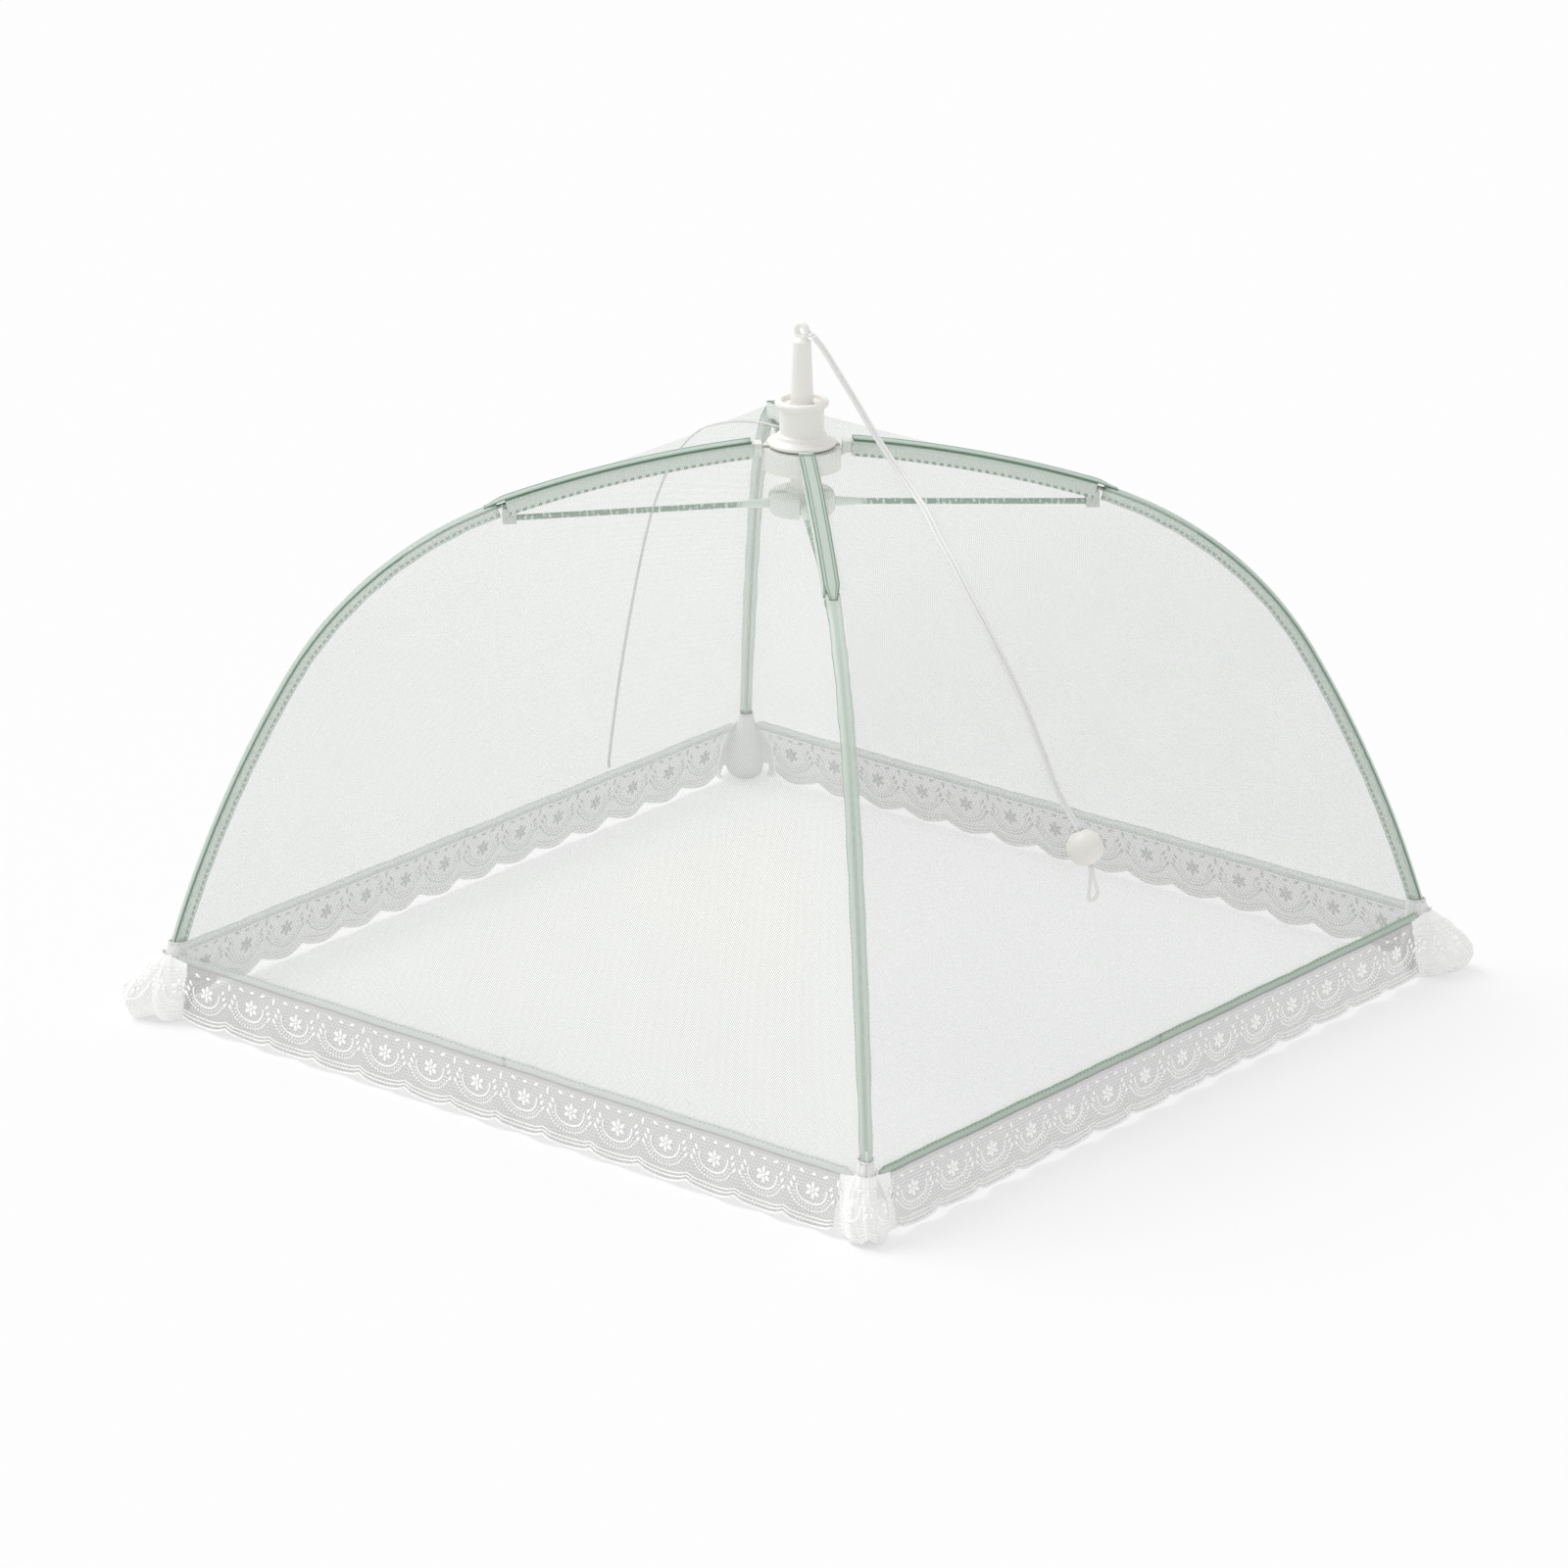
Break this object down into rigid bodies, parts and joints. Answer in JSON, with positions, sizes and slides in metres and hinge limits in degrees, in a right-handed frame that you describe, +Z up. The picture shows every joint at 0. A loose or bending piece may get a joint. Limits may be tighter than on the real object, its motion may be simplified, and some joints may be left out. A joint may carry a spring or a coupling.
{
  "type": "pop-up mesh cover",
  "caption": "Square lace-trimmed mesh cover with a domed net on folding ribs, a crown plunger and a pull cord; snaps open and folds down.",
  "frame": {"origin": "on the table, under the plunger's axis", "axes": "+Z up along the plunger; X and Y along the sides of the square hem; ribs on the diagonals"},
  "size_m": [0.4394, 0.4394, 0.3163],
  "materials": {
    "ivory_plastic": "moulded, soft gloss",
    "rib_plastic": "translucent mint moulding",
    "rib_wire": "spring wire in green enamel",
    "joint_steel": "bright pressed steel",
    "stretcher_plastic": "pale green moulding",
    "mesh": "fine open net",
    "sleeve_tape": "thin mint woven tape",
    "hem_tape": "sage green woven tape",
    "lace": "raschel lace, white",
    "pocket_cloth": "white satin cloth",
    "cord": "braided cord, white",
    "bead": "polished"
  },
  "bodies": {
    "crown": {"crown_cap": "ivory_plastic", "notch_ring": "ivory_plastic", "rib_hinge_pins": "joint_steel", "closing_seam": "mesh", "pull_cord": "cord", "cord_bead": "bead", "mesh_panel_front_right": "mesh", "mesh_panel_back_right": "mesh", "mesh_panel_back_left": "mesh", "mesh_panel_front_left": "mesh", "hem_tape_front_right": "hem_tape", "hem_tape_back_right": "hem_tape", "hem_tape_back_left": "hem_tape", "hem_tape_front_left": "hem_tape", "lace_skirt_front_right": "lace", "lace_skirt_back_right": "lace", "lace_skirt_back_left": "lace", "lace_skirt_front_left": "lace"},
    "plunger": {"plunger_rod": "ivory_plastic", "runner_hub": "ivory_plastic", "cord_knot": "cord"},
    "rib_front": {"rib_bracket_front": "ivory_plastic", "upper_rib_front": "rib_plastic", "lower_rib_wire_front": "rib_wire", "joint_clip_front": "joint_steel", "joint_rivet_front": "joint_steel", "rib_sleeve_front": "sleeve_tape", "rib_tip_front": "ivory_plastic", "corner_pocket_front": "pocket_cloth"},
    "stretcher_front": {"stretcher_front": "stretcher_plastic"},
    "rib_right": {"rib_bracket_right": "ivory_plastic", "upper_rib_right": "rib_plastic", "lower_rib_wire_right": "rib_wire", "joint_clip_right": "joint_steel", "joint_rivet_right": "joint_steel", "rib_sleeve_right": "sleeve_tape", "rib_tip_right": "ivory_plastic", "corner_pocket_right": "pocket_cloth"},
    "stretcher_right": {"stretcher_right": "stretcher_plastic"},
    "rib_back": {"rib_bracket_back": "ivory_plastic", "upper_rib_back": "rib_plastic", "lower_rib_wire_back": "rib_wire", "joint_clip_back": "joint_steel", "joint_rivet_back": "joint_steel", "rib_sleeve_back": "sleeve_tape", "rib_tip_back": "ivory_plastic", "corner_pocket_back": "pocket_cloth"},
    "stretcher_back": {"stretcher_back": "stretcher_plastic"},
    "rib_left": {"rib_bracket_left": "ivory_plastic", "upper_rib_left": "rib_plastic", "lower_rib_wire_left": "rib_wire", "joint_clip_left": "joint_steel", "joint_rivet_left": "joint_steel", "rib_sleeve_left": "sleeve_tape", "rib_tip_left": "ivory_plastic", "corner_pocket_left": "pocket_cloth"},
    "stretcher_left": {"stretcher_left": "stretcher_plastic"}
  },
  "joints": [
    {"name": "plunger_slide", "type": "slide", "parent": "crown", "child": "plunger", "axis": [0, 0, 1], "range_m": [-0.17606, 0]},
    {"name": "rib_hinge_front", "type": "hinge", "parent": "crown", "child": "rib_front", "pos_m": [0.0099, -0.0099, 0.255], "axis": [0.7071, 0.7071, 0], "range_deg": [0, 45.05]},
    {"name": "stretcher_hinge_front", "type": "hinge", "parent": "rib_front", "child": "stretcher_front", "pos_m": [0.09192, -0.09192, 0.2294], "axis": [-0.7071, -0.7071, 0], "range_deg": [0, 102.9]},
    {"name": "rib_hinge_right", "type": "hinge", "parent": "crown", "child": "rib_right", "pos_m": [0.0099, 0.0099, 0.255], "axis": [-0.7071, 0.7071, 0], "range_deg": [0, 45.05]},
    {"name": "stretcher_hinge_right", "type": "hinge", "parent": "rib_right", "child": "stretcher_right", "pos_m": [0.09192, 0.09192, 0.2294], "axis": [0.7071, -0.7071, 0], "range_deg": [0, 102.9]},
    {"name": "rib_hinge_back", "type": "hinge", "parent": "crown", "child": "rib_back", "pos_m": [-0.0099, 0.0099, 0.255], "axis": [-0.7071, -0.7071, 0], "range_deg": [0, 45.05]},
    {"name": "stretcher_hinge_back", "type": "hinge", "parent": "rib_back", "child": "stretcher_back", "pos_m": [-0.09192, 0.09192, 0.2294], "axis": [0.7071, 0.7071, 0], "range_deg": [0, 102.9]},
    {"name": "rib_hinge_left", "type": "hinge", "parent": "crown", "child": "rib_left", "pos_m": [-0.0099, -0.0099, 0.255], "axis": [0.7071, -0.7071, 0], "range_deg": [0, 45.05]},
    {"name": "stretcher_hinge_left", "type": "hinge", "parent": "rib_left", "child": "stretcher_left", "pos_m": [-0.09192, -0.09192, 0.2294], "axis": [-0.7071, 0.7071, 0], "range_deg": [0, 102.9]}
  ],
  "couplings": [
    {"joint": "rib_hinge_front", "follows": "plunger_slide", "rad_per_m": -4.4611},
    {"joint": "stretcher_hinge_front", "follows": "plunger_slide", "rad_per_m": -10.191},
    {"joint": "rib_hinge_right", "follows": "plunger_slide", "rad_per_m": -4.4611},
    {"joint": "stretcher_hinge_right", "follows": "plunger_slide", "rad_per_m": -10.191},
    {"joint": "rib_hinge_back", "follows": "plunger_slide", "rad_per_m": -4.4611},
    {"joint": "stretcher_hinge_back", "follows": "plunger_slide", "rad_per_m": -10.191},
    {"joint": "rib_hinge_left", "follows": "plunger_slide", "rad_per_m": -4.4611},
    {"joint": "stretcher_hinge_left", "follows": "plunger_slide", "rad_per_m": -10.191}
  ]
}
